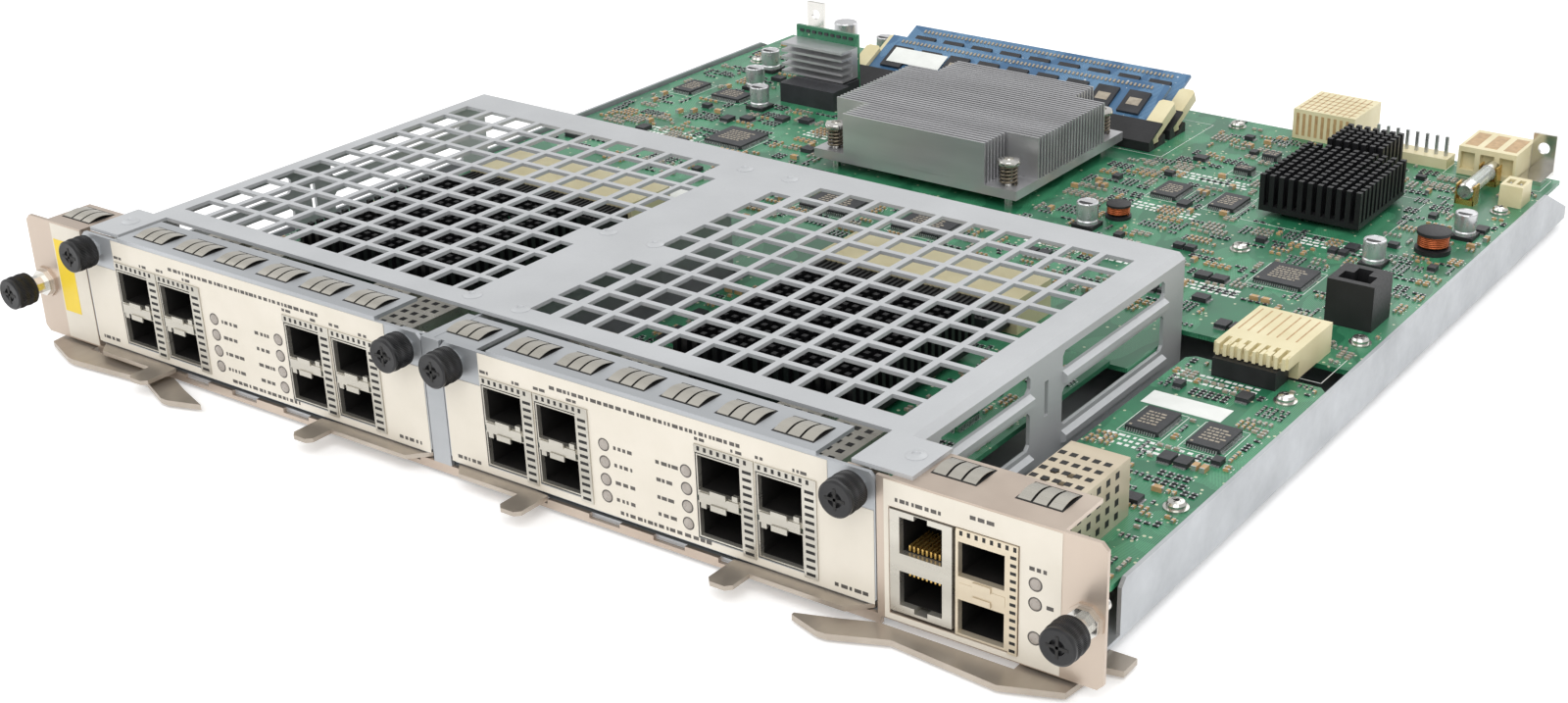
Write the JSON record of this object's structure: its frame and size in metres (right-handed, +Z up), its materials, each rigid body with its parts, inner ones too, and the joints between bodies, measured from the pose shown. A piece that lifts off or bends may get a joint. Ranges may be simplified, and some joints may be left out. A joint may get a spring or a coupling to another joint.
{
  "type": "interface module",
  "caption": "Sheet-metal interface module with a processor board, plug-in port modules under a perforated cover, ejector levers and captive thumbscrews.",
  "frame": {"origin": "under the middle of the whole part, at the height of its lowest rivet heads", "axes": "+X to the right seen from the front, +Y from the front panel to the back edge, +Z up out of the tray"},
  "size_m": [0.3994, 0.4064, 0.0453],
  "materials": {
    "cream_panel": "satin cream coating",
    "zinc_sheet": "dull zinc plated sheet",
    "green_board": "solder resist",
    "black_plastic": "moulded",
    "cream_plastic": "moulded",
    "plated_shell": "tin plated",
    "cream_plated": "warm tin plated",
    "bare_aluminium": "extruded",
    "dark_steel": "oiled spring steel",
    "black_fins": "black anodised",
    "chip_black": "moulded package",
    "memory_blue": "blue solder resist",
    "dark_ferrite": "ferrite and windings",
    "can_sleeve": "shrink sleeve, bare top",
    "fuse_glass": "glass tube with plated caps",
    "bright_steel": "bright nickel plate",
    "screw_black": "black knurled knob"
  },
  "bodies": {
    "chassis": {"front_panel": "cream_panel", "centre_divider": "zinc_sheet", "base_tray": "zinc_sheet", "module_cage": "zinc_sheet", "main_board": "green_board", "port_board": "green_board", "link_header": "black_plastic", "link_receptacle": "cream_plastic", "rj45_jack": "plated_shell", "uplink_sfp_cage": "cream_plated", "cpu_heatsink": "bare_aluminium", "heatsink_screws": "dark_steel", "heatsink_springs": "dark_steel", "pin_fin_heatsink": "black_fins", "small_pin_fin_heatsink": "black_fins", "board_chips": "chip_black", "front_memory_module": "memory_blue", "rear_memory_module": "memory_blue", "memory_sockets": "black_plastic", "converter_board": "green_board", "converter_heatsink": "bare_aluminium", "converter_base": "dark_ferrite", "electrolytic_capacitors": "can_sleeve", "inductors": "dark_ferrite", "backplane_connector": "cream_plastic", "power_header": "cream_plastic", "power_connector": "cream_plastic", "fuse": "fuse_glass", "two_way_header": "cream_plastic", "guide_brackets": "bright_steel", "board_screws": "bright_steel", "keyed_socket": "black_plastic", "screw_ferrules": "bright_steel", "module_receptacles": "cream_plastic"},
    "main_left_lever": {"main_left_lever": "zinc_sheet"},
    "main_right_lever": {"main_right_lever": "zinc_sheet"},
    "main_left_thumbscrew": {"main_left_thumbscrew": "screw_black"},
    "main_right_thumbscrew": {"main_right_thumbscrew": "screw_black"},
    "left_module": {"left_module_faceplate": "zinc_sheet", "left_module_board": "green_board", "left_module_sfp_cages": "plated_shell", "left_module_heatsink": "black_fins", "left_module_plug": "black_plastic"},
    "left_module_left_lever": {"left_module_left_lever": "zinc_sheet"},
    "left_module_left_thumbscrew": {"left_module_left_thumbscrew": "screw_black"},
    "left_module_right_lever": {"left_module_right_lever": "zinc_sheet"},
    "left_module_right_thumbscrew": {"left_module_right_thumbscrew": "screw_black"},
    "right_module": {"right_module_faceplate": "zinc_sheet", "right_module_board": "green_board", "right_module_sfp_cages": "plated_shell", "right_module_heatsink": "black_fins", "right_module_plug": "black_plastic"},
    "right_module_left_lever": {"right_module_left_lever": "zinc_sheet"},
    "right_module_left_thumbscrew": {"right_module_left_thumbscrew": "screw_black"},
    "right_module_right_lever": {"right_module_right_lever": "zinc_sheet"},
    "right_module_right_thumbscrew": {"right_module_right_thumbscrew": "screw_black"},
    "front_left_memory_latch": {"front_left_memory_latch": "cream_plastic"},
    "front_right_memory_latch": {"front_right_memory_latch": "cream_plastic"},
    "rear_left_memory_latch": {"rear_left_memory_latch": "cream_plastic"},
    "rear_right_memory_latch": {"rear_right_memory_latch": "cream_plastic"}
  },
  "joints": [
    {"name": "main_left_lever_pivot", "type": "hinge", "parent": "chassis", "child": "main_left_lever", "pos_m": [-0.1844, -0.18185, 0.0015], "axis": [0, 0, -1], "range_deg": [0, 45]},
    {"name": "main_right_lever_pivot", "type": "hinge", "parent": "chassis", "child": "main_right_lever", "pos_m": [0.1844, -0.18185, 0.0015], "axis": [0, 0, 1], "range_deg": [0, 45]},
    {"name": "main_left_thumbscrew_turn", "type": "hinge", "parent": "chassis", "child": "main_left_thumbscrew", "pos_m": [-0.1944, -0.18885, 0.0218], "axis": [0, 1, 0], "continuous": true},
    {"name": "main_right_thumbscrew_turn", "type": "hinge", "parent": "chassis", "child": "main_right_thumbscrew", "pos_m": [0.1944, -0.18885, 0.0218], "axis": [0, 1, 0], "continuous": true},
    {"name": "left_module_slide", "type": "slide", "parent": "chassis", "child": "left_module", "axis": [0, -1, 0], "range_m": [0, 0.165]},
    {"name": "left_module_left_lever_pivot", "type": "hinge", "parent": "left_module", "child": "left_module_left_lever", "pos_m": [-0.1661, -0.18385, 0.0049], "axis": [0, 0, -1], "range_deg": [0, 45]},
    {"name": "left_module_left_thumbscrew_turn", "type": "hinge", "parent": "left_module", "child": "left_module_left_thumbscrew", "pos_m": [-0.16635, -0.18885, 0.0393], "axis": [0, 1, 0], "continuous": true},
    {"name": "left_module_right_lever_pivot", "type": "hinge", "parent": "left_module", "child": "left_module_right_lever", "pos_m": [-0.0291, -0.18385, 0.0049], "axis": [0, 0, 1], "range_deg": [0, 45]},
    {"name": "left_module_right_thumbscrew_turn", "type": "hinge", "parent": "left_module", "child": "left_module_right_thumbscrew", "pos_m": [-0.02885, -0.18885, 0.0393], "axis": [0, 1, 0], "continuous": true},
    {"name": "right_module_slide", "type": "slide", "parent": "chassis", "child": "right_module", "axis": [0, -1, 0], "range_m": [0, 0.165]},
    {"name": "right_module_left_lever_pivot", "type": "hinge", "parent": "right_module", "child": "right_module_left_lever", "pos_m": [-0.0096, -0.18385, 0.0049], "axis": [0, 0, -1], "range_deg": [0, 45]},
    {"name": "right_module_left_thumbscrew_turn", "type": "hinge", "parent": "right_module", "child": "right_module_left_thumbscrew", "pos_m": [-0.00985, -0.18885, 0.0393], "axis": [0, 1, 0], "continuous": true},
    {"name": "right_module_right_lever_pivot", "type": "hinge", "parent": "right_module", "child": "right_module_right_lever", "pos_m": [0.1274, -0.18385, 0.0049], "axis": [0, 0, 1], "range_deg": [0, 45]},
    {"name": "right_module_right_thumbscrew_turn", "type": "hinge", "parent": "right_module", "child": "right_module_right_thumbscrew", "pos_m": [0.12765, -0.18885, 0.0393], "axis": [0, 1, 0], "continuous": true},
    {"name": "front_left_memory_latch_pivot", "type": "hinge", "parent": "chassis", "child": "front_left_memory_latch", "pos_m": [-0.10268, 0.13687, 0.02217], "axis": [0, -0.4226, 0.9063], "range_deg": [0, 30]},
    {"name": "front_right_memory_latch_pivot", "type": "hinge", "parent": "chassis", "child": "front_right_memory_latch", "pos_m": [0.04047, 0.13687, 0.02217], "axis": [0, 0.4226, -0.9063], "range_deg": [0, 30]},
    {"name": "rear_left_memory_latch_pivot", "type": "hinge", "parent": "chassis", "child": "rear_left_memory_latch", "pos_m": [-0.10268, 0.15437, 0.02217], "axis": [0, -0.4226, 0.9063], "range_deg": [0, 30]},
    {"name": "rear_right_memory_latch_pivot", "type": "hinge", "parent": "chassis", "child": "rear_right_memory_latch", "pos_m": [0.04047, 0.15437, 0.02217], "axis": [0, 0.4226, -0.9063], "range_deg": [0, 30]}
  ]
}
